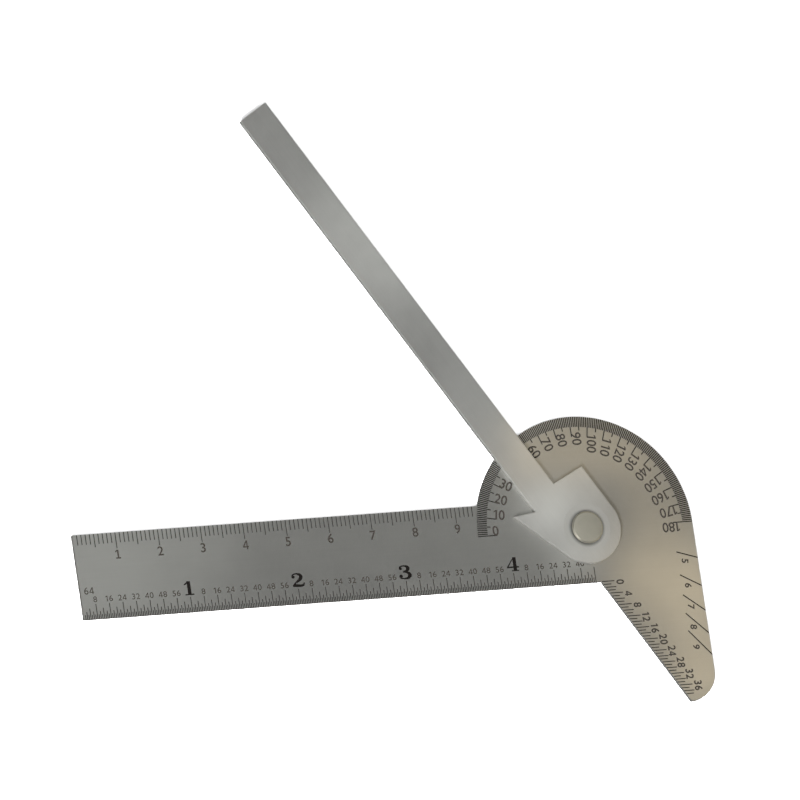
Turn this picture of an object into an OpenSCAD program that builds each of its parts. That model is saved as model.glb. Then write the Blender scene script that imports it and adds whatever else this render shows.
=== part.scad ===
// Angle gauge: a rule, a protractor and a drill-point leg in one flat plate,
// with a swinging arm riveted to it.
// The origin is where the pivot axis meets the plate's back face.
// +X runs from the free end of the rule towards the leg, +Z comes out of the graduated face.

/* [Rule] */
// Length of the rule from its free end to the pivot
rule_reach = 120; // [100:1:160]
// Width of the rule
rule_w = 19; // [16:0.5:24]
// Height of the pivot above the rule's lower edge
pivot_rise = 12.1; // [10.5:0.1:14]
// Thickness of the plate
plate_t = 1; // [0.8:0.1:1.6]

/* [Protractor] */
// Radius of the protractor's edge
dial_r = 25.4; // [23:0.1:32]

/* [Drill-point leg] */
// Distance of the leg's corner beyond the pivot
corner_x = 2; // [0:0.5:4]
// Angle of the leg's sloping edge to the rule, half of a drill's point angle
leg_angle = 59; // [55:1:62]
// Depth of the leg below the rule's lower edge
leg_drop = 28.3; // [24:0.1:32]
// Radius of the leg's rounded end
leg_end_r = 6.5; // [4:0.1:8]

/* [Arm] */
// Length of the arm from the pivot to its end
arm_reach = 117.5; // [90:0.5:150]
// Width of the arm's blade
arm_w = 7.6; // [6:0.1:9]
// Thickness of the arm
arm_t = 1; // [0.8:0.1:1.6]
// Angle that the arm is set to on the protractor
arm_angle = 59; // [0:1:180]
// Radius of the arm's round head
head_r = 8; // [7:0.1:9]
// Distance of the square shoulder from the pivot
shoulder_u = 11.5; // [10:0.5:15]
// Slant of the shoulder's edge, measured at the reading edge
shoulder_slant = 0.7; // [0:0.1:1]
// Distance of the barb's notch from the pivot
notch_u = 9.7; // [9:0.1:13]
// How far the barb's point reaches past its notch, along the arm
barb_forward = 2; // [0.5:0.1:3]
// How far the barb's point stands out from the blade
barb_out = 4.7; // [3:0.1:6]

/* [Pivot] */
// Diameter of the rivet's shoulder, which the arm turns on
shoulder_d = 4; // [3:0.1:4.5]
// Diameter of the rivet's tail, through the plate
tail_d = 3; // [2:0.1:3.2]
// Diameter of the closed end of the tail, in the countersink
tail_head_d = 4.6; // [4:0.1:6]
// Depth of the countersink in the plate's back
sink_depth = 0.4; // [0.2:0.05:0.5]
// Diameter of the rivet's head
rivet_head_d = 7.2; // [6.8:0.1:8]
// Thickness of the rivet's head
rivet_head_t = 0.6; // [0.5:0.05:1]
// Chamfer round the rivet's head
rivet_chamfer = 0.3; // [0.1:0.05:0.4]

/* [Spring] */
// Outer diameter of the dished spring washer
spring_d = 6.4; // [5.8:0.1:6.6]
// Thickness of the spring washer
spring_t = 0.2; // [0.1:0.05:0.3]
// Height of its cone as fitted
spring_rise = 0.1; // [0.05:0.05:0.2]
// Diameter of the shallow dish in the arm round the pivot
dish_d = 11; // [9.5:0.1:12]
// Depth of that dish
dish_depth = 0.15; // [0.05:0.05:0.25]

/* [Graduations] */
// Depth of the etched lines
etch_depth = 0.06; // [0.03:0.01:0.15]
// Width of the lines on the rule and the leg
line_w = 0.18; // [0.08:0.01:0.22]
// Width of the lines on the protractor
dial_line_w = 0.24; // [0.1:0.01:0.28]
// Width of the circle-divider lines
divider_line_w = 0.25; // [0.15:0.01:0.4]
// Inches of scale along the rule's lower edge
inch_scale = 4.75; // [3:0.125:4.75]

/* [Fits] */
// Clearance between the arm and the plate
slide_gap = 0.05; // [0.04:0.01:0.1]
// Radial clearance of the arm on the rivet's shoulder
pivot_clear = 0.05; // [0.04:0.01:0.1]
// Clearance of the rivet's tail in the plate
tail_clear = 0.02; // [0.01:0.01:0.03]
// Radial clearance of the spring washer on the shoulder
spring_clear = 0.15; // [0.1:0.01:0.2]
// Clearance under the spring washer's rim
rim_gap = 0.04; // [0.04:0.01:0.08]
// How far the closed tail stays inside the plate's back face
tail_inset = 0.05; // [0.02:0.01:0.1]

/* [Hidden] */
$fn = 96;
inch = 25.4;
// Far enough past a face for a cut to come out of it
past = 1;
rule_top_y = rule_w - pivot_rise;
leg_end_y = -pivot_rise - leg_drop;
leg_end_x = corner_x + leg_drop / tan(leg_angle);
arm_z = plate_t + slide_gap;
dish_z = arm_z + arm_t - dish_depth;
spring_z = dish_z + rim_gap;
rivet_head_z = spring_z + spring_rise + spring_t;
barb_u = notch_u + barb_forward;
barb_v = arm_w + barb_out;
barb_far = norm([barb_u, barb_v]);
// Radius that the head's two straight flanks touch: inside the round head, which they meet at slight corners
flank_r = head_r - 0.05;
flank_angle = atan2(barb_v, barb_u) + acos(flank_r / barb_far);
// Floor of the dish, just wider than the spring
dish_floor_d = spring_d + 2 * spring_clear;
// Lengths of the graduation lines, from the shortest to the longest
mm_line = [2.3, 3, 3.6];
inch_line = [1, 1.7, 2.4, 3.4];
dial_line = [2.3, 3.1, 4.5];
leg_line = [1.75, 2.4, 3];
divider_line = 4.8;
leg_pitch = inch / 32;
leg_lines = 39;
// Clear metal between the last millimetre line and the protractor
scale_gap = 0.6;

// A straight line of the graduations, from the edge at p along direction a, started outside the edge
module tick(p, a, length, width) {
    translate(p)
        rotate(a)
            translate([-width, -width / 2])
                square([length + width, width]);
}

// Millimetre lines down from the rule's upper edge
module mm_scale() {
    for (k = [1 : floor(rule_reach - dial_r - scale_gap)]) {
        length = k % 10 == 0 ? mm_line[2] : k % 5 == 0 ? mm_line[1] : mm_line[0];
        tick([k - rule_reach, rule_top_y], -90, length, line_w);
    }
}

// Lines every 64th of an inch up from the rule's lower edge
module inch_scale() {
    for (k = [1 : round(64 * inch_scale)]) {
        rank = k % 8 == 0 ? 3 : k % 4 == 0 ? 2 : k % 2 == 0 ? 1 : 0;
        tick([k * inch / 64 - rule_reach, -pivot_rise], 90, inch_line[rank], line_w);
    }
}

// One line per degree in from the protractor's edge, 0 at the rule's side
module dial_scale() {
    for (k = [0 : 180]) {
        length = k % 10 == 0 ? dial_line[2] : k % 5 == 0 ? dial_line[1] : dial_line[0];
        rotate(180 - k)
            tick([dial_r, 0], 180, length, dial_line_w);
    }
}

// Lines every 32nd of an inch along the leg's sloping edge, parallel to the rule
module leg_scale() {
    for (k = [0 : leg_lines]) {
        length = k % 4 == 0 ? leg_line[2] : k % 2 == 0 ? leg_line[1] : leg_line[0];
        along = k * leg_pitch;
        tick([corner_x + along * cos(leg_angle), -pivot_rise - along * sin(leg_angle)], 0, length, line_w);
    }
}

// Radial lines that divide a circle into 5 to 9 parts, out to the leg's straight edge
module divider_scale() {
    for (parts = [5 : 9]) {
        slope = 90 - 360 / parts;
        rotate(-slope)
            translate([(dial_r - divider_line) / cos(slope), -divider_line_w / 2])
                square([(divider_line + past) / cos(slope), divider_line_w]);
    }
}

// The leg: a rounded block, cut off along the sloping edge
module leg_outline() {
    intersection() {
        union() {
            translate([0, leg_end_y + leg_end_r])
                square([dial_r, -leg_end_y - leg_end_r]);
            translate([0, leg_end_y])
                square([dial_r - leg_end_r, leg_end_r]);
            translate([dial_r - leg_end_r, leg_end_y + leg_end_r])
                circle(r = leg_end_r);
        }
        polygon([
            [0, 0],
            [0, -pivot_rise],
            [corner_x, -pivot_rise],
            [leg_end_x, leg_end_y],
            [dial_r, leg_end_y],
            [dial_r, 0]
        ]);
    }
}

module plate_outline() {
    translate([-rule_reach, -pivot_rise])
        square([rule_reach, rule_w]);
    intersection() {
        circle(r = dial_r, $fn = 180);
        translate([-dial_r, 0])
            square([2 * dial_r, dial_r]);
    }
    leg_outline();
}

module rule_plate() {
    color("darkgray")
        difference() {
            linear_extrude(plate_t)
                plate_outline();
            translate([0, 0, -past])
                cylinder(h = plate_t + 2 * past, d = tail_d + 2 * tail_clear);
            rotate_extrude()
                tail_profile(tail_clear);
            translate([0, 0, plate_t - etch_depth])
                linear_extrude(etch_depth + past) {
                    mm_scale();
                    inch_scale();
                    dial_scale();
                    leg_scale();
                    divider_scale();
                }
        }
}

// Half section of the countersink's cone, grown by a clearance, from the back face up
module tail_profile(clear) {
    polygon([
        [0, 0],
        [tail_head_d / 2 + clear, 0],
        [tail_d / 2 + clear, sink_depth],
        [0, sink_depth]
    ]);
}

// Outline of the arm as it lies along +X, with its reading edge on the X axis
module arm_outline() {
    square([arm_reach, arm_w]);
    circle(r = head_r);
    polygon([
        [0, -flank_r],
        [shoulder_u, -flank_r],
        [shoulder_u + shoulder_slant, 0],
        [notch_u, arm_w],
        [barb_u, barb_v],
        [flank_r * cos(flank_angle), flank_r * sin(flank_angle)],
        [0, 0]
    ]);
}

module swing_arm() {
    color("silver")
        translate([0, 0, arm_z])
            rotate(180 - arm_angle)
                difference() {
                    linear_extrude(arm_t)
                        arm_outline();
                    translate([0, 0, -past])
                        cylinder(h = arm_t + 2 * past, d = shoulder_d + 2 * pivot_clear);
                    translate([0, 0, arm_t])
                        rotate_extrude()
                            polygon([
                                [0, 0],
                                [dish_d / 2, 0],
                                [dish_floor_d / 2, -dish_depth],
                                [0, -dish_depth]
                            ]);
                }
}

// Head, shoulder and closed tail, turned about the pivot axis
module pivot_rivet() {
    color("tan")
        rotate_extrude()
            polygon([
                [0, tail_inset],
                [tail_head_d / 2 - tail_inset, tail_inset],
                [tail_d / 2, sink_depth],
                [tail_d / 2, plate_t],
                [shoulder_d / 2, plate_t],
                [shoulder_d / 2, rivet_head_z],
                [rivet_head_d / 2, rivet_head_z],
                [rivet_head_d / 2, rivet_head_z + rivet_head_t - rivet_chamfer],
                [rivet_head_d / 2 - rivet_chamfer, rivet_head_z + rivet_head_t],
                [0, rivet_head_z + rivet_head_t]
            ]);
}

// Dished washer: its rim presses on the arm, its inner edge on the rivet's head
module disc_spring() {
    inner_r = shoulder_d / 2 + spring_clear;
    color("gray")
        rotate_extrude()
            polygon([
                [inner_r, spring_z + spring_rise],
                [spring_d / 2, spring_z],
                [spring_d / 2, spring_z + spring_t],
                [inner_r, spring_z + spring_rise + spring_t]
            ]);
}

rule_plate();
swing_arm();
pivot_rivet();
disc_spring();
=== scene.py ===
"""Looks of the angle gauge: inked graduations and numbers, satin steel, and a plain bright studio.

The frame is the CAD frame in metres: the origin where the pivot axis meets the plate's back,
+X from the rule's free end to the leg, +Z out of the graduated face.
"""

import math
from collections import namedtuple

import bpy
from mathutils import Matrix, Vector


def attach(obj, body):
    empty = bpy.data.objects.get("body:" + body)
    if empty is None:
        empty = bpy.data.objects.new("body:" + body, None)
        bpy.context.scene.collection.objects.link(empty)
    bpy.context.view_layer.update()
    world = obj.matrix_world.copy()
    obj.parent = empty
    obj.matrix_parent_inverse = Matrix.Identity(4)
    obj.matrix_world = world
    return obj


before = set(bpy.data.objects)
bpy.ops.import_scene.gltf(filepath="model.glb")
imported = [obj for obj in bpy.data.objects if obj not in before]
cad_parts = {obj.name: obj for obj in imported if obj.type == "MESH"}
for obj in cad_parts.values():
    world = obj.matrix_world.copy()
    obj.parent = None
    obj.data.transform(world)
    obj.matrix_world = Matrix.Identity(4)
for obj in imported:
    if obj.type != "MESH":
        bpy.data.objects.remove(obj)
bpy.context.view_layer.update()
scene = bpy.context.scene

MM = 0.001

# The plate and its scales, as in the part's source, in millimetres
INCH = 25.4
RULE_REACH = 120.0
RULE_TOP = 6.9
RULE_BOTTOM = -12.1
PLATE_T = 1.0
DIAL_R = 25.4
CORNER_X = 2.0
LEG_ANGLE = math.radians(59.0)
ARM_ANGLE = math.radians(180.0 - 59.0)
ETCH_DEPTH = 0.06
LINE_W = 0.18
DIAL_LINE_W = 0.24
DIVIDER_LINE_W = 0.25
INCH_SCALE = 4.75
MM_LINES = 94
LEG_LINES = 39
MM_LINE = (2.3, 3.0, 3.6)
INCH_LINE = (1.0, 1.7, 2.4, 3.4)
DIAL_LINE = (2.3, 3.1, 4.5)
LEG_LINE = (1.75, 2.4, 3.0)
DIVIDER_LINE = 4.8

# Ink fills each etched line up to just below the face, and stays clear of its walls and of the edge
ETCH_FLOOR = PLATE_T - ETCH_DEPTH
INK_TOP = PLATE_T - 0.008
INK_SIDE = 0.004
# Printed numbers are a thin raised layer, lower than the gap under the arm
NUMBER_LAYER = 0.012
# The parts of a heavy figure overlap, so each one ends this much higher than the one before
NUMBER_STEP = 0.0006


class Flat:
    """Collects flat closed solids on the plate's face, given by outlines in millimetres."""

    def __init__(self):
        self.points = []
        self.faces = []

    def solid(self, outline, low, high):
        """A prism between two heights over a counterclockwise outline, convex or close to it."""
        first, count = len(self.points), len(outline)
        for z in (low, high):
            self.points += [(x * MM, y * MM, z * MM) for x, y in outline]
        self.faces.append([first + i for i in reversed(range(count))])
        self.faces.append([first + count + i for i in range(count)])
        for i in range(count):
            j = (i + 1) % count
            self.faces.append([first + i, first + j, first + count + j, first + count + i])

    def mesh(self, points, faces, place):
        """Adds another mesh, through a 4x4 matrix that takes its points to millimetres."""
        first = len(self.points)
        self.points += [(place @ Vector(p)) * MM for p in points]
        self.faces += [[first + i for i in f] for f in faces]

    def piece(self, name, material, slot):
        """The collected solids as one piece that rides on the gauge."""
        mesh = bpy.data.meshes.new(name)
        mesh.from_pydata(self.points, [], self.faces)
        mesh.validate()
        mesh.update()
        mesh.materials.append(material)
        made = bpy.data.objects.new(name, mesh)
        scene.collection.objects.link(made)
        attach(made, "gauge")


# Materials


class Nodes:
    """A short way to write a node material."""

    def __init__(self, name):
        self.material = bpy.data.materials.new(name)
        self.material.use_nodes = True
        self.tree = self.material.node_tree
        self.bsdf = self.tree.nodes["Principled BSDF"]

    def add(self, kind, sockets=None, **attributes):
        """A node with its attributes, and its sockets as {name or number: value or output}."""
        made = self.tree.nodes.new(kind)
        for key, value in attributes.items():
            setattr(made, key, value)
        for key, value in (sockets or {}).items():
            self.set(made.inputs[key], value)
        return made

    def set(self, socket, value):
        """Links an output to the socket, or gives the socket a constant."""
        if isinstance(value, bpy.types.NodeSocket):
            self.tree.links.new(value, socket)
        else:
            socket.default_value = value

    def ramp(self, factor, stops):
        """A colour ramp through (position, colour) stops; a colour may be one grey value."""
        made = self.add("ShaderNodeValToRGB", {"Fac": factor})
        elements = made.color_ramp.elements
        while len(elements) < len(stops):
            elements.new(0.5)
        for element, (position, colour) in zip(elements, stops):
            element.position = position
            if not isinstance(colour, tuple):
                colour = (colour, colour, colour)
            element.color = (*colour, 1.0)
        return made.outputs["Color"]

    def noise(self, vector, scale, detail=3.0, roughness=0.5):
        """Soft noise between 0 and 1."""
        sockets = {"Vector": vector, "Scale": scale, "Detail": detail, "Roughness": roughness}
        return self.add("ShaderNodeTexNoise", sockets).outputs["Fac"]


# How fine each pattern is: the scales of the noise and of the rings, for places in metres
GRAIN_FINENESS = (45.0, 2600.0, 400.0)
CLOUD_FINENESS = 55.0
SPOT_FINENESS = 900.0
RING_FINENESS = 900.0
TURNED_FINENESS = 400.0
INK_FINENESS = 5000.0
# The share of the grain in the colour, and the tone of its darkest strokes
GRAIN_SHARE, GRAIN_TONE = 0.18, 0.86
# The tone of the dull places of turned steel
TURNED_TONE = 0.92
# How far the gloss varies on satin and on turned steel
SATIN_SPREAD, TURNED_SPREAD = 0.04, 0.05
# How strongly the fine relief shows, and its depth in metres
SATIN_BUMP, TURNED_BUMP, INK_BUMP = 0.12, 0.1, 0.3
STEEL_RELIEF, INK_RELIEF = 0.00002, 0.00001
# How much the grain stretches what satin steel mirrors
ANISOTROPY = 0.3
# A small matt share: satin steel scatters a little, so it shows soft shadows at its steps
METALLIC = 0.955
# Painted shade on the arm: a darker ring round the rivet's head that stands in for the head's shadow.
# Radii in mm, and its tone at the head
SHADE_RING_NEAR, SHADE_RING_FAR, SHADE_RING_TONE = 3.6, 4.5, 0.5
# How dark and how light the ink gets, in parts of its tint
INK_DARK, INK_LIGHT = 0.7, 1.5


def rubbed_ring(nodes, place, colour):
    """The colour, darkened close to the rivet's head: painted shade that stands in for the head's
    shadow.
    """
    flat = nodes.add("ShaderNodeVectorMath", {0: place, 1: (1.0, 1.0, 0.0)}, operation="MULTIPLY")
    radius = nodes.add("ShaderNodeVectorMath", {0: flat.outputs["Vector"]}, operation="LENGTH")
    reach = {
        "Value": radius.outputs["Value"],
        "From Min": SHADE_RING_NEAR * MM,
        "From Max": SHADE_RING_FAR * MM,
        "To Min": SHADE_RING_TONE,
    }
    tone = nodes.add("ShaderNodeMapRange", reach, interpolation_type="SMOOTHSTEP")
    darkened = nodes.add("ShaderNodeVectorMath", {0: colour}, operation="SCALE")
    nodes.set(darkened.inputs["Scale"], tone.outputs["Result"])
    return darkened.outputs["Vector"]


def steel_surface(nodes, variation, roughness, spread, edge, strength, relief):
    """What both steels share: uneven gloss, a small matt share, rounded edges and a fine relief."""
    limits = {"Value": variation, "To Min": roughness - spread, "To Max": roughness + spread}
    gloss = nodes.add("ShaderNodeMapRange", limits)
    nodes.set(nodes.bsdf.inputs["Roughness"], gloss.outputs["Result"])
    nodes.set(nodes.bsdf.inputs["Metallic"], METALLIC)
    rounded = nodes.add("ShaderNodeBevel", {"Radius": edge * MM}, samples=6)
    bump = {"Strength": strength, "Distance": STEEL_RELIEF, "Height": relief}
    fine = nodes.add("ShaderNodeBump", bump)
    nodes.set(fine.inputs["Normal"], rounded.outputs["Normal"])
    nodes.set(nodes.bsdf.inputs["Normal"], fine.outputs["Normal"])


def satin_steel(name, tint, roughness, turn=0.0, edge=0.12, worn=0.05, painted_rivet_shade=False):
    """Satin sheet steel: grain along the piece, faint clouds in tint and gloss, and if asked, painted
    shade round the rivet's head.
    """
    nodes = Nodes(name)
    place = nodes.add("ShaderNodeTexCoord").outputs["Object"]
    turned = nodes.add("ShaderNodeMapping", {"Vector": place, "Rotation": (0.0, 0.0, turn)})
    along = nodes.add("ShaderNodeMapping", {"Vector": turned.outputs["Vector"], "Scale": GRAIN_FINENESS})
    strokes = nodes.noise(along.outputs["Vector"], scale=1.0, detail=4.0, roughness=0.6)
    clouds = nodes.noise(place, CLOUD_FINENESS, roughness=0.55)
    spots = nodes.noise(place, SPOT_FINENESS, detail=2.0, roughness=0.6)
    dark = tuple(c * (1.0 - worn) for c in tint)
    light = tuple(min(1.0, c * (1.0 + worn)) for c in tint)
    streaked = nodes.add("ShaderNodeMix", data_type="RGBA", blend_type="MULTIPLY")
    nodes.set(streaked.inputs["Factor"], GRAIN_SHARE)
    nodes.set(streaked.inputs["A"], nodes.ramp(clouds, [(0.3, dark), (0.7, light)]))
    nodes.set(streaked.inputs["B"], nodes.ramp(strokes, [(0.3, GRAIN_TONE), (0.7, 1.0)]))
    colour = streaked.outputs["Result"]
    # Painted shade: darker round the rivet's head, where its shadow falls
    if painted_rivet_shade:
        colour = rubbed_ring(nodes, place, colour)
    nodes.set(nodes.bsdf.inputs["Base Color"], colour)
    nodes.set(nodes.bsdf.inputs["Anisotropic"], ANISOTROPY)
    steel_surface(nodes, spots, roughness, SATIN_SPREAD, edge, SATIN_BUMP, strokes)
    return nodes.material


def turned_steel(name, tint, roughness, edge=0.08):
    """Steel turned on a lathe: fine rings about the pivot axis."""
    nodes = Nodes(name)
    place = nodes.add("ShaderNodeTexCoord").outputs["Object"]
    rings = nodes.add(
        "ShaderNodeTexWave",
        {"Vector": place, "Scale": RING_FINENESS, "Distortion": 0.8, "Detail": 2.0},
        wave_type="RINGS",
        rings_direction="Z",
    )
    clouds = nodes.noise(place, TURNED_FINENESS)
    dull = tuple(c * TURNED_TONE for c in tint)
    nodes.set(nodes.bsdf.inputs["Base Color"], nodes.ramp(clouds, [(0.25, dull), (0.75, tint)]))
    steel_surface(nodes, clouds, roughness, TURNED_SPREAD, edge, TURNED_BUMP, rings.outputs["Fac"])
    return nodes.material


def etching_ink(name, tint):
    """Matt baked-in ink, a little uneven."""
    nodes = Nodes(name)
    place = nodes.add("ShaderNodeTexCoord").outputs["Object"]
    grains = nodes.noise(place, INK_FINENESS, roughness=0.6)
    dark = tuple(c * INK_DARK for c in tint)
    light = tuple(c * INK_LIGHT for c in tint)
    nodes.set(nodes.bsdf.inputs["Base Color"], nodes.ramp(grains, [(0.3, dark), (0.7, light)]))
    nodes.set(nodes.bsdf.inputs["Roughness"], 0.8)
    nodes.set(nodes.bsdf.inputs["Specular IOR Level"], 0.05)
    bump = {"Strength": INK_BUMP, "Distance": INK_RELIEF, "Height": grains}
    rough = nodes.add("ShaderNodeBump", bump)
    nodes.set(nodes.bsdf.inputs["Normal"], rough.outputs["Normal"])
    return nodes.material


# Graduations


def tick(ink, start, angle, length, width):
    """One inked line from the edge at start, along angle in degrees."""
    a = math.radians(angle)
    along, across = Vector((math.cos(a), math.sin(a))), Vector((-math.sin(a), math.cos(a)))
    half = width / 2 - INK_SIDE
    near, far = Vector(start) + along * INK_SIDE, Vector(start) + along * (length - INK_SIDE)
    outline = [near - across * half, far - across * half, far + across * half, near + across * half]
    ink.solid(outline, ETCH_FLOOR, INK_TOP)


def mm_ink():
    """The millimetre lines on the rule's upper edge."""
    ink = Flat()
    for k in range(1, MM_LINES + 1):
        length = MM_LINE[2] if k % 10 == 0 else MM_LINE[1] if k % 5 == 0 else MM_LINE[0]
        tick(ink, (k - RULE_REACH, RULE_TOP), -90, length, LINE_W)
    return ink


def inch_ink():
    """The lines of a 64th of an inch on the rule's lower edge."""
    ink = Flat()
    for k in range(1, round(64 * INCH_SCALE) + 1):
        rank = 3 if k % 8 == 0 else 2 if k % 4 == 0 else 1 if k % 2 == 0 else 0
        tick(ink, (k * INCH / 64 - RULE_REACH, RULE_BOTTOM), 90, INCH_LINE[rank], LINE_W)
    return ink


def dial_ink():
    """The degree lines round the protractor's edge."""
    ink = Flat()
    for k in range(181):
        length = DIAL_LINE[2] if k % 10 == 0 else DIAL_LINE[1] if k % 5 == 0 else DIAL_LINE[0]
        a = math.radians(180 - k)
        tick(ink, (DIAL_R * math.cos(a), DIAL_R * math.sin(a)), 360 - k, length, DIAL_LINE_W)
    return ink


def leg_start(k):
    """Where the k-th line of the leg's scale meets the sloping edge."""
    along = k * INCH / 32
    return CORNER_X + along * math.cos(LEG_ANGLE), RULE_BOTTOM - along * math.sin(LEG_ANGLE)


def leg_ink():
    """The lines of a 32nd of an inch, level, with their near ends cut along the sloping edge."""
    ink = Flat()
    slant = LINE_W / math.tan(LEG_ANGLE)
    half = LINE_W / 2 - INK_SIDE
    for k in range(LEG_LINES + 1):
        length = LEG_LINE[2] if k % 4 == 0 else LEG_LINE[1] if k % 2 == 0 else LEG_LINE[0]
        x, y = leg_start(k)
        near, far = x + INK_SIDE, x + length - INK_SIDE
        outline = [
            (near + slant / 2, y - half),
            (far, y - half),
            (far, y + half),
            (near - slant / 2, y + half),
        ]
        ink.solid(outline, ETCH_FLOOR, INK_TOP)
    return ink


def divider_ink():
    """Lines for 5 to 9 parts of a circle, cut off square at the leg's straight edge."""
    ink = Flat()
    half = DIVIDER_LINE_W / 2 - INK_SIDE
    for parts in range(5, 10):
        slope = math.radians(90 - 360 / parts)
        along = Vector((math.cos(slope), -math.sin(slope)))
        across = Vector((math.sin(slope), math.cos(slope)))
        near = along * ((DIAL_R - DIVIDER_LINE) / math.cos(slope) + INK_SIDE)
        ends = []
        for side in (-half, half):
            reach = (DIAL_R - INK_SIDE - across.x * side) / along.x
            ends.append(across * side + along * reach)
        outline = [near - across * half, *ends, near + across * half]
        ink.solid(outline, ETCH_FLOOR, INK_TOP)
    return ink


# Numbers


def glyph(text, weight):
    """A figure of Blender's own typeface, lower left at the origin: (points, faces, width, height)."""
    curve = bpy.data.curves.new("glyph", "FONT")
    curve.body = text
    curve.size = 1.0
    curve.extrude = 0.5
    curve.offset = weight
    curve.resolution_u = 5
    made = bpy.data.objects.new("glyph", curve)
    scene.collection.objects.link(made)
    bpy.context.view_layer.update()
    filled = made.evaluated_get(bpy.context.evaluated_depsgraph_get())
    shape = filled.to_mesh()
    points = [tuple(v.co) for v in shape.vertices]
    faces = [tuple(p.vertices) for p in shape.polygons]
    filled.to_mesh_clear()
    bpy.data.objects.remove(made)
    bpy.data.curves.remove(curve)
    left, right = min(p[0] for p in points), max(p[0] for p in points)
    low, high = min(p[1] for p in points), max(p[1] for p in points)
    return [(x - left, y - low, z) for x, y, z in points], faces, right - left, high - low


# The height of the typeface's digits, in units of its size
DIGIT_TOP = 0.69


def blocks_glyph(blocks, width):
    """A figure made of blocks, in the same form as glyph gives."""
    flat = Flat()
    for block in blocks:
        flat.solid([(x / MM, y / MM) for x, y in block], -0.5 / MM, 0.5 / MM)
    return flat.points, flat.faces, width, DIGIT_TOP


def one(weight, foot):
    """A figure 1 with a flag, and with a foot if wanted."""
    left, right, bar = 0.17 - weight, 0.27 + weight, 0.09 + weight
    blocks = [
        [(left, 0.0), (right, 0.0), (right, DIGIT_TOP), (left, DIGIT_TOP)],
        [(0.02, 0.5 - weight), (left, 0.59 - weight), (left, DIGIT_TOP), (0.02, 0.59)],
    ]
    if foot:
        blocks.append([(0.02, 0.0), (left, 0.0), (left, bar), (0.02, bar)])
        blocks.append([(right, 0.0), (0.42, 0.0), (0.42, bar), (right, bar)])
    return blocks_glyph(blocks, 0.42 if foot else right)


def four(weight):
    """A figure 4 that stays open when its strokes are widened."""
    left, right = 0.3 - weight, 0.38 + weight
    low, high = 0.15 - weight, 0.23 + weight
    width = 0.47
    blocks = [
        [(left, 0.0), (right, 0.0), (right, DIGIT_TOP), (left, DIGIT_TOP)],
        [(0.0, low), (left, low), (left, high), (0.0, high)],
        [(right, low), (width, low), (width, high), (right, high)],
        [(0.0, high), (0.11 + weight, high), (left, 0.54 - weight), (left, DIGIT_TOP)],
    ]
    return blocks_glyph(blocks, width)


def half_turn(figure):
    """A figure turned by half a turn, as a 9 is a turned 6."""
    points, faces, width, height = figure
    return [(width - x, height - y, z) for x, y, z in points], faces, width, height


def typeface(weight, foot=False):
    """The ten digits, with their strokes widened by weight on each side."""
    digits = {d: glyph(d, weight) for d in "0235678"}
    digits["1"] = one(weight, foot)
    digits["4"] = four(weight)
    # Blender's own 9 loses its tail when its strokes are widened
    digits["9"] = half_turn(digits["6"])
    return digits


PLAIN = typeface(weight=0.004)
MEDIUM = typeface(weight=0.012)
FOOTED = typeface(weight=0.012, foot=True)
BOLD = typeface(weight=0.025)

# A kind of number: height and width of its 0 and the distance from digit to digit in mm, and typeface
Style = namedtuple("Style", "height width pitch digits")
DIAL_STYLE = Style(2.25, 1.4, 1.5, MEDIUM)
MM_STYLE = Style(2.1, 1.35, 1.5, FOOTED)
SCALE_NAME_STYLE = Style(1.6, 1.05, 1.25, PLAIN)
INCH_PART_STYLE = Style(1.3, 0.88, 1.05, PLAIN)
LEG_STYLE = Style(1.85, 1.1, 1.25, BOLD)
DIVIDER_STYLE = Style(1.6, 1.1, 1.1, BOLD)

# Places of the numbers' centres, in mm
MM_NUMBER_Y = 2.05
INCH_PART_Y = -7.7
SCALE_NAME_AT = (-118.0, -5.7)
LEG_NUMBER_SHIFT = (4.3, -0.35)
DIVIDER_NUMBER_X = 22.3
# Each divider number stands this much further from the leg's straight edge than the one before
DIVIDER_NUMBER_STEP = 0.1
# How far each divider number lies below its line, and the angle that they all read along
DIVIDER_DROP = {5: 1.6, 6: 1.6, 7: 1.6, 8: 1.8, 9: 2.2}
DIVIDER_NUMBER_TURN = -97
# The dial's numbers end at this radius, but the last two stand further out
DIAL_NUMBER_END = 21.85
DIAL_NUMBER_SHIFT = {170: 0.75, 180: 0.75}
# The centre of a dial number above its line
DIAL_NUMBER_RISE = 1.05


def number(numbers, text, centre, angle, style):
    """A number in a style, centred, reading along angle in degrees."""
    zero_width, zero_height = style.digits["0"][2:]
    turn = Matrix.Rotation(math.radians(angle), 4, "Z")
    middle = Matrix.Translation((centre[0], centre[1], PLATE_T + NUMBER_LAYER / 2))
    stretch = Matrix.Diagonal((style.width / zero_width, style.height / zero_height, NUMBER_LAYER, 1))
    for i, digit in enumerate(text):
        points, faces, w, _ = style.digits[digit]
        shift = (i - (len(text) - 1) / 2) * style.pitch - style.width * w / zero_width / 2
        place = middle @ turn @ Matrix.Translation((shift, -style.height / 2, 0)) @ stretch
        numbers.mesh(points, faces, place)


def dial_numbers():
    """The protractor's numbers: each baseline lies on its line, and the tops point to larger angles."""
    numbers = Flat()
    for k in range(0, 181, 10):
        text = str(k)
        end = DIAL_NUMBER_END + DIAL_NUMBER_SHIFT.get(k, 0.0)
        radius = end - (DIAL_STYLE.pitch * (len(text) - 1) + DIAL_STYLE.width) / 2
        a = math.radians(180 - k)
        base = Vector((math.cos(a), math.sin(a))) * radius
        up = Vector((math.sin(a), -math.cos(a)))
        number(numbers, text, base + up * DIAL_NUMBER_RISE, 360 - k, DIAL_STYLE)
    return numbers


def mm_numbers():
    """The centimetre numbers under the millimetre lines."""
    numbers = Flat()
    for k in range(1, 10):
        number(numbers, str(k), (10 * k - RULE_REACH, MM_NUMBER_Y), 0, MM_STYLE)
    return numbers


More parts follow.
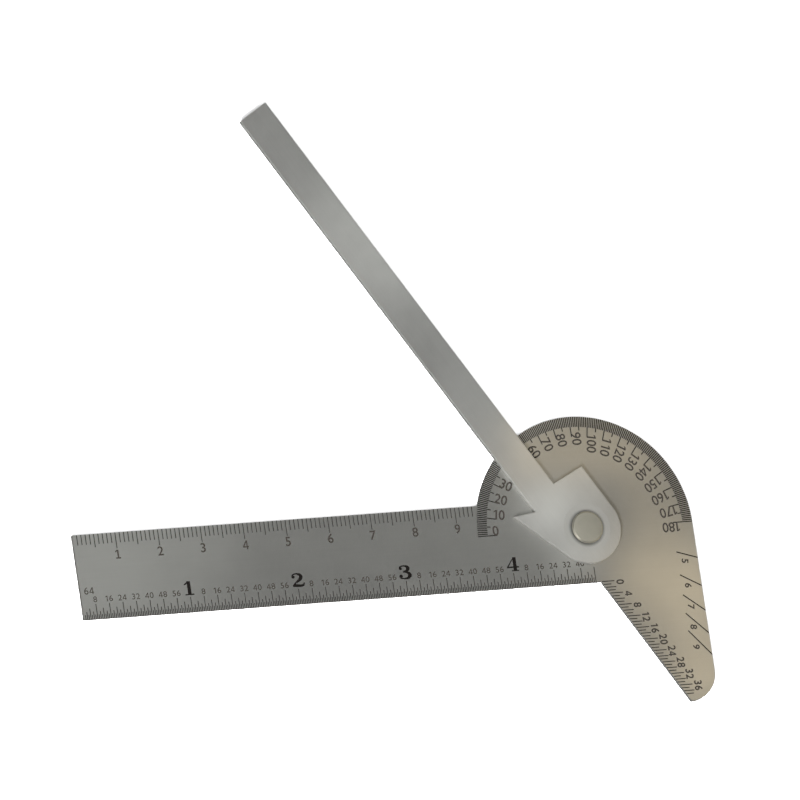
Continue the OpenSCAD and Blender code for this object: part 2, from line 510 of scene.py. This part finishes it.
def small_inch_numbers():
    """The 64ths over the inch scale, and the number that names that scale."""
    numbers = Flat()
    number(numbers, "64", SCALE_NAME_AT, 0, SCALE_NAME_STYLE)
    for whole in range(5):
        for part in range(8, 64, 8):
            x = (whole + part / 64) * INCH
            if x < INCH_SCALE * INCH:
                number(numbers, str(part), (x - RULE_REACH, INCH_PART_Y), 0, INCH_PART_STYLE)
    return numbers


def leg_numbers():
    """Every fourth 32nd along the leg's sloping edge."""
    numbers = Flat()
    for k in range(0, 37, 4):
        x, y = leg_start(k)
        centre = (x + LEG_NUMBER_SHIFT[0], y + LEG_NUMBER_SHIFT[1])
        number(numbers, str(k), centre, -90, LEG_STYLE)
    return numbers


def divider_numbers():
    """The number of parts below each divider line."""
    numbers = Flat()
    for parts, drop in DIVIDER_DROP.items():
        slope = math.radians(90 - 360 / parts)
        x = DIVIDER_NUMBER_X - DIVIDER_NUMBER_STEP * (parts - 5)
        centre = (x, -x * math.tan(slope) - drop)
        number(numbers, str(parts), centre, DIVIDER_NUMBER_TURN, DIVIDER_STYLE)
    return numbers


# Steps on a curve from one knot to the next
PATH_STEPS = 8


def between(before, start, end, after, t):
    """The value at t, from 0 to 1, between start and end on a smooth curve through all four."""
    straight = 2 * start + (end - before) * t
    square = (2 * before - 5 * start + 4 * end - after) * t * t
    cube = (3 * start - before - 3 * end + after) * t**3
    return 0.5 * (straight + square + cube)


def smooth_path(knots):
    """Points (x, y, width) on a smooth curve through the knots."""
    line = [knots[0], *knots, knots[-1]]
    out = []
    for four_knots in zip(line, line[1:], line[2:], line[3:]):
        for step in range(PATH_STEPS):
            out.append(tuple(between(*values, step / PATH_STEPS) for values in zip(*four_knots)))
    return out + [knots[-1]]


def pen(numbers, place, path, low, high):
    """A stroke of varying width along a path in cell units, as a chain of flat blocks."""
    sides = []
    for i, (x, y, w) in enumerate(path):
        before, after = path[max(i - 1, 0)], path[min(i + 1, len(path) - 1)]
        way = Vector((after[0] - before[0], after[1] - before[1])).normalized()
        across = Vector((-way.y, way.x)) * (w / 2)
        sides.append((place((x - across.x, y - across.y)), place((x + across.x, y + across.y))))
    for (r0, l0), (r1, l1) in zip(sides, sides[1:]):
        numbers.solid([r0, r1, l1, l0], low, high)


# Heavy figures with serifs in a cell one unit high: strokes of (x, y, width) knots, straight bars
# as (x0, y0, x1, y1) corners, and ball ends as (x, y, radius)
HEAVY = {
    "1": {
        "strokes": [[(0.06, 0.76, 0.07), (0.2, 0.83, 0.1), (0.32, 0.95, 0.1)]],
        "bars": [(0.28, 0.04, 0.54, 1.0), (0.08, 0.0, 0.74, 0.09)],
        "balls": [],
    },
    "2": {
        "strokes": [
            [
                (0.1, 0.72, 0.06),
                (0.15, 0.88, 0.09),
                (0.4, 0.955, 0.11),
                (0.64, 0.86, 0.2),
                (0.69, 0.68, 0.24),
                (0.56, 0.5, 0.2),
                (0.32, 0.32, 0.12),
                (0.1, 0.12, 0.08),
            ],
            [
                (0.08, 0.1, 0.1),
                (0.3, 0.12, 0.2),
                (0.6, 0.09, 0.18),
                (0.8, 0.13, 0.14),
                (0.88, 0.3, 0.06),
            ],
        ],
        "bars": [],
        "balls": [(0.17, 0.74, 0.11)],
    },
    "3": {
        "strokes": [
            [
                (0.1, 0.76, 0.06),
                (0.15, 0.9, 0.09),
                (0.38, 0.955, 0.1),
                (0.6, 0.88, 0.19),
                (0.64, 0.75, 0.23),
                (0.56, 0.6, 0.17),
                (0.3, 0.53, 0.08),
            ],
            [
                (0.3, 0.53, 0.08),
                (0.6, 0.47, 0.17),
                (0.72, 0.28, 0.25),
                (0.62, 0.1, 0.2),
                (0.38, 0.045, 0.1),
                (0.12, 0.1, 0.09),
                (0.06, 0.24, 0.06),
            ],
        ],
        "bars": [],
        "balls": [(0.17, 0.77, 0.1), (0.14, 0.23, 0.115)],
    },
    "4": {
        "strokes": [[(0.56, 0.98, 0.05), (0.3, 0.64, 0.08), (0.05, 0.31, 0.08)]],
        "bars": [(0.0, 0.24, 0.9, 0.34), (0.48, 0.02, 0.73, 1.0), (0.34, 0.0, 0.87, 0.07)],
        "balls": [],
    },
}
# Width of the cell in cell units, and how much wider than it each figure is drawn
HEAVY_CELL = 0.86
HEAVY_STRETCH = {"1": 1.0, "2": 1.1, "3": 1.15, "4": 1.0}
# Height of the figures and the middle of their row, in mm
HEAVY_HEIGHT = 3.15
HEAVY_Y = -6.75
BALL_SIDES = 16


def heavy_numbers():
    """The large inch figures, each centred on its inch line. Their parts end at different heights."""
    numbers = Flat()
    low = PLATE_T
    for text, figure in HEAVY.items():
        centre = int(text) * INCH - RULE_REACH
        width = HEAVY_HEIGHT * HEAVY_STRETCH[text]

        def place(p, centre=centre, width=width):
            return centre + (p[0] - HEAVY_CELL / 2) * width, HEAVY_Y + (p[1] - 0.5) * HEAVY_HEIGHT

        high = low + NUMBER_LAYER
        for knots in figure["strokes"]:
            pen(numbers, place, smooth_path(knots), low, high)
            high += NUMBER_STEP
        for x0, y0, x1, y1 in figure["bars"]:
            corners = [(x0, y0), (x1, y0), (x1, y1), (x0, y1)]
            numbers.solid([place(c) for c in corners], low, high)
            high += NUMBER_STEP
        for x, y, r in figure["balls"]:
            turns = [i * 2 * math.pi / BALL_SIDES for i in range(BALL_SIDES)]
            ring = [(x + r * math.cos(a), y + r * math.sin(a)) for a in turns]
            numbers.solid([place(c) for c in ring], low, high)
            high += NUMBER_STEP
    return numbers


black_ink = etching_ink("etching_ink_black", (0.003, 0.0027, 0.0024))
line_ink = etching_ink("etching_ink_lines", (0.007, 0.0067, 0.0062))
worn_ink = etching_ink("etching_ink_worn", (0.0155, 0.014, 0.012))

mm_ink().piece("mm_lines", line_ink, "plate_steel")
inch_ink().piece("inch_lines", line_ink, "plate_steel")
dial_ink().piece("dial_lines", line_ink, "plate_steel")
leg_ink().piece("leg_lines", line_ink, "plate_steel")
divider_ink().piece("divider_lines", line_ink, "plate_steel")
mm_numbers().piece("mm_numbers", worn_ink, "plate_steel")
small_inch_numbers().piece("inch_part_numbers", worn_ink, "plate_steel")
heavy_numbers().piece("inch_numbers", black_ink, "plate_steel")
dial_numbers().piece("dial_numbers", worn_ink, "plate_steel")
leg_numbers().piece("leg_numbers", worn_ink, "plate_steel")
divider_numbers().piece("divider_numbers", worn_ink, "plate_steel")

# Steel of the CAD nodes
PLATE_TINT = (0.6, 0.6, 0.572)
ARM_TINT = (0.85, 0.85, 0.82)
RIVET_TINT = (0.73, 0.705, 0.6)
SPRING_TINT = (0.42, 0.41, 0.4)
finishes = {
    "rule_plate": satin_steel("plate_steel", PLATE_TINT, 0.42),
    # The arm's steel carries painted shade round the rivet's head
    "swing_arm": satin_steel(
        "arm_steel", ARM_TINT, 0.46, turn=-ARM_ANGLE, edge=0.3, worn=0.08, painted_rivet_shade=True
    ),
    "pivot_rivet": turned_steel("rivet_steel", RIVET_TINT, 0.36, edge=0.15),
    "disc_spring": turned_steel("spring_steel", SPRING_TINT, 0.3),
}
for node, material in finishes.items():
    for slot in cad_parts[node].material_slots:
        slot.material = material

# Camera: far away with a long lens, as the photograph shows almost no perspective
CAMERA_AZIMUTH = math.radians(-61.72)
CAMERA_ELEVATION = math.radians(65.77)
CAMERA_ROLL = math.radians(55.38)
CAMERA_AIM = Vector((-38.96, 31.92, 1.0)) * MM
CAMERA_DISTANCE = 6.0
FRAME_WIDTH = 0.17606
SENSOR_WIDTH = 36.0
back = Vector(
    (
        math.sin(CAMERA_AZIMUTH) * math.cos(CAMERA_ELEVATION),
        -math.cos(CAMERA_AZIMUTH) * math.cos(CAMERA_ELEVATION),
        math.sin(CAMERA_ELEVATION),
    )
)
level = Vector((math.cos(CAMERA_AZIMUTH), math.sin(CAMERA_AZIMUTH), 0.0))
right = level * math.cos(CAMERA_ROLL) + back.cross(level) * math.sin(CAMERA_ROLL)
up = back.cross(right)
camera_data = bpy.data.cameras.new("camera")
camera_data.sensor_width = SENSOR_WIDTH
camera_data.lens = SENSOR_WIDTH * CAMERA_DISTANCE / FRAME_WIDTH
camera_data.clip_start, camera_data.clip_end = 0.5, 20.0
camera = bpy.data.objects.new("camera", camera_data)
scene.collection.objects.link(camera)
pose = Matrix((right, up, back)).transposed().to_4x4()
pose.translation = CAMERA_AIM + back * CAMERA_DISTANCE
camera.matrix_world = pose
scene.camera = camera
scene.view_settings.view_transform = "Standard"

# Studio: an overexposed white floor, a dark room for the steel to mirror, and cards of light
NEUTRAL = (0.98, 1.0, 0.97)
WARM = (1.0, 0.8, 0.5)
WHITE = (1.0, 1.0, 1.0)
SOFT_WHITE = (1.0, 0.99, 0.96)

# The floor is a square just under the plate's back. It reaches this far each way, in metres.
FLOOR_HALF, FLOOR_Z = 6.0, -0.00003
FLOOR_FINENESS = 30.0
FLOOR_DARK, FLOOR_LIGHT = 0.86, 0.88
floor_nodes = Nodes("floor_white")
floor_place = floor_nodes.add("ShaderNodeTexCoord").outputs["Object"]
floor_clouds = floor_nodes.noise(floor_place, FLOOR_FINENESS)
floor_tone = floor_nodes.ramp(floor_clouds, [(0.0, FLOOR_DARK), (1.0, FLOOR_LIGHT)])
floor_nodes.set(floor_nodes.bsdf.inputs["Base Color"], floor_tone)
floor_nodes.set(floor_nodes.bsdf.inputs["Roughness"], 0.9)
floor_corners = [
    (-FLOOR_HALF, -FLOOR_HALF, FLOOR_Z),
    (FLOOR_HALF, -FLOOR_HALF, FLOOR_Z),
    (FLOOR_HALF, FLOOR_HALF, FLOOR_Z),
    (-FLOOR_HALF, FLOOR_HALF, FLOOR_Z),
]
floor_mesh = bpy.data.meshes.new("floor")
floor_mesh.from_pydata(floor_corners, [], [(0, 1, 2, 3)])
floor_mesh.materials.append(floor_nodes.material)
floor = bpy.data.objects.new("floor", floor_mesh)
scene.collection.objects.link(floor)
# The steel's side walls mirror the dark room instead of the overexposed floor
floor.visible_glossy = False

# The room is dark, and lighter low down on the camera's side, where the steel's walls mirror it
ROOM_TONE, ROOM_LOW_TONE = 0.04, 0.12
ROOM_LOW_WAY = (-0.7, -0.1, -0.7)
# The tone changes while a direction's share along that way grows from the first to the second
ROOM_LOW_START, ROOM_LOW_FULL = 0.35, 0.85
world = bpy.data.worlds.new("room")
scene.world = world
world.use_nodes = True
room = world.node_tree.nodes
room["Background"].inputs["Color"].default_value = (*NEUTRAL, 1.0)
nearness = room.new("ShaderNodeVectorMath")
nearness.operation = "DOT_PRODUCT"
nearness.inputs[1].default_value = ROOM_LOW_WAY
room_tone = room.new("ShaderNodeMapRange")
room_tone.inputs["From Min"].default_value = ROOM_LOW_START
room_tone.inputs["From Max"].default_value = ROOM_LOW_FULL
room_tone.inputs["To Min"].default_value = ROOM_TONE
room_tone.inputs["To Max"].default_value = ROOM_LOW_TONE
world.node_tree.links.new(room.new("ShaderNodeTexCoord").outputs["Generated"], nearness.inputs[0])
world.node_tree.links.new(nearness.outputs["Value"], room_tone.inputs["Value"])
world.node_tree.links.new(room_tone.outputs["Result"], room["Background"].inputs["Strength"])


def card(name, place, aim, size, power, tint, mirrored=True, lights=True):
    """A soft rectangular light. mirrored: the steel shows it. lights: it lights matt surfaces."""
    data = bpy.data.lights.new(name, "AREA")
    data.shape = "RECTANGLE"
    data.size, data.size_y = size[0] * MM, size[1] * MM
    data.energy = power
    data.color = tint
    made = bpy.data.objects.new(name, data)
    made.location = Vector(place) * MM
    way = (Vector(aim) - Vector(place)).normalized()
    made.rotation_mode = "QUATERNION"
    made.rotation_quaternion = way.to_track_quat("-Z", "Y")
    made.visible_camera = False
    made.visible_glossy = mirrored
    made.visible_diffuse = lights
    scene.collection.objects.link(made)


# A spot of the face mirrors to the camera what stands at height h and this shift times h away
MIRROR_SHIFT = Vector((0.396, 0.213))


def mirror_card(name, spot, height, size, radiance, tint):
    """A level card that the face mirrors to the camera at spot, and that lights nothing else."""
    over = Vector(spot) + MIRROR_SHIFT * height
    area = size[0] * size[1] * MM * MM
    place = (over.x, over.y, height)
    card(name, place, (over.x, over.y, 0), size, radiance * math.pi * area, tint, lights=False)


# Places, aims and sizes in mm, power in watts
card("floor_light", (-40, 30, 900), (-40, 30, 0), (1600, 1600), 20.0, WHITE, mirrored=False)
# Casts the short shadows beside the arm and the rivet. The floor stays white under them.
card("side_light", (-530, -520, 650), (-10, 5, 0), (250, 250), 42.0, WHITE, mirrored=False)
card("key_light", (-440, -365, 305), (0, 0, 0), (280, 280), 0.22, SOFT_WHITE)
card("fill_light", (-450, -245, 610), (0, 0, 0), (900, 900), 1.2, SOFT_WHITE)
# Each card's spot on the face, height and size in mm, and radiance
mirror_card("rule_end_card", (-121, -2), 40, (22, 26), 0.35, NEUTRAL)
mirror_card("rule_card", (-101, -2), 40, (22, 24), 0.28, NEUTRAL)
mirror_card("rule_right_card", (-29, -2), 35, (18, 20), 0.1, NEUTRAL)
mirror_card("arm_top_card", (-48, 72), 26, (19, 19), 0.25, NEUTRAL)
mirror_card("arm_middle_card", (-40, 60), 28, (15, 15), 0.36, NEUTRAL)
mirror_card("arm_root_card", (-20, 26), 26, (14, 14), 0.22, NEUTRAL)
mirror_card("barb_card", (-10, 4), 14, (10, 10), 0.33, NEUTRAL)
mirror_card("head_card", (-4, 4), 18, (13, 14), 0.15, NEUTRAL)
mirror_card("head_low_card", (-5, -7), 14, (10, 10), 0.24, NEUTRAL)
mirror_card("dial_top_card", (1, 19), 16, (34, 15), 0.37, WARM)
mirror_card("dial_side_card", (18, 4), 20, (16, 20), 0.28, WARM)
mirror_card("leg_top_card", (18, -13), 22, (28, 12), 0.63, WARM)
mirror_card("leg_middle_card", (21, -24), 25, (18, 14), 0.55, WARM)
mirror_card("leg_end_card", (22, -36), 25, (16, 14), 0.95, WARM)
